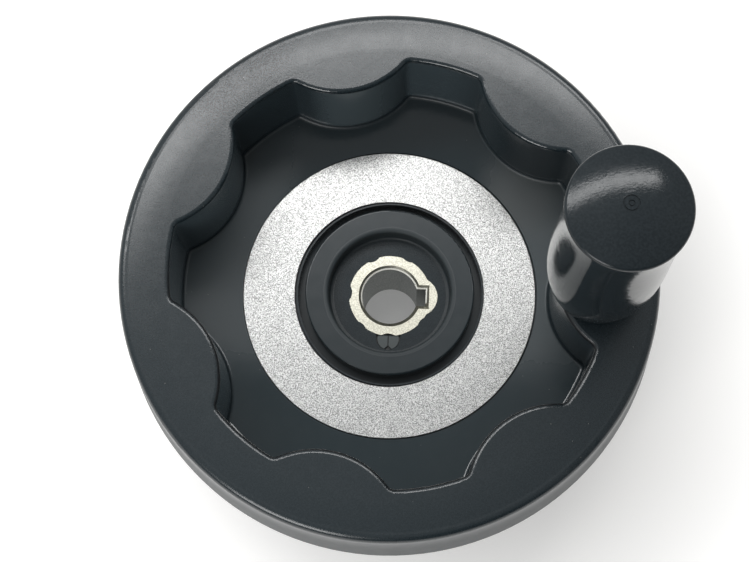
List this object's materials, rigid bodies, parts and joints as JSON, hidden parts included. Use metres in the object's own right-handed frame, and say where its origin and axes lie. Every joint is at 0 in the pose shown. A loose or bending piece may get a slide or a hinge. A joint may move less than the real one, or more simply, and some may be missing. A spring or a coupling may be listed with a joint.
{
  "type": "machine handwheel",
  "caption": "Moulded black handwheel with a scalloped finger dish, bright face ring, keyed metal hub bush and a revolving upright handle.",
  "frame": {"origin": "axis of the bore at the back face of the hub bush, where the wheel seats on the machine", "axes": "+Z along the wheel axis out of the front face, +X from the wheel axis towards the handle, +Y completes the right-handed frame"},
  "size_m": [0.15, 0.15, 0.1358],
  "materials": {
    "phenolic_black": "moulded black phenolic, satin",
    "handle_black": "moulded black phenolic, high gloss",
    "aluminium_blasted": "fine sand-blasted aluminium",
    "bush_metal": "bright plated steel with a warm tint",
    "insert_brass": "turned brass",
    "spindle_steel": "turned zinc-plated steel",
    "spring_steel": "drawn spring wire"
  },
  "bodies": {
    "wheel": {"wheel_body": "phenolic_black", "face_ring": "aluminium_blasted", "hub_bush": "bush_metal", "thread_insert": "insert_brass", "handle_spindle": "spindle_steel", "snap_ring": "spring_steel"},
    "handle": {"handle_sleeve": "handle_black"}
  },
  "joints": [
    {"name": "handle_spin", "type": "hinge", "parent": "wheel", "child": "handle", "pos_m": [0.0564, 0, 0.09], "axis": [0, 0, 1], "continuous": true}
  ]
}
